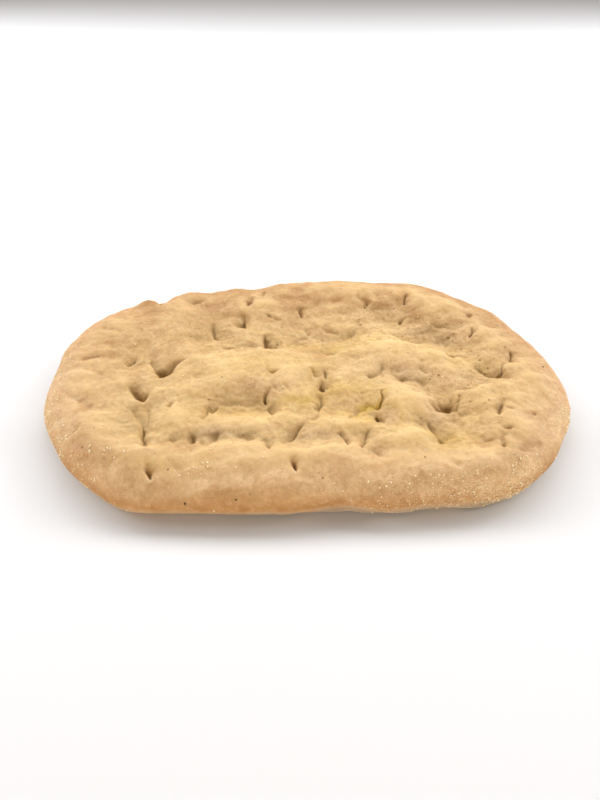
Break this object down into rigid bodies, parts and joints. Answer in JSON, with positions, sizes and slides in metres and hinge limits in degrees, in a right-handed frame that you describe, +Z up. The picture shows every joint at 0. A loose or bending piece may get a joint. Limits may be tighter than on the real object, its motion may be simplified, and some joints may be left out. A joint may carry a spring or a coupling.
{
  "type": "pinsa",
  "caption": "Oval flatbread baked plain: rounded rim, flat underside, and a top pressed all over by fingertips into pits, creases and low puffs.",
  "frame": {"origin": "on the table, under the middle of the bread's box", "axes": "+X along the bread, +Y across it, +Z up from the flat underside"},
  "size_m": [0.3068, 0.206, 0.0243],
  "materials": {
    "crust": "matte",
    "semolina": "matte",
    "bran": "matte"
  },
  "bodies": {
    "root": {"pinsa": "crust"}
  },
  "joints": []
}
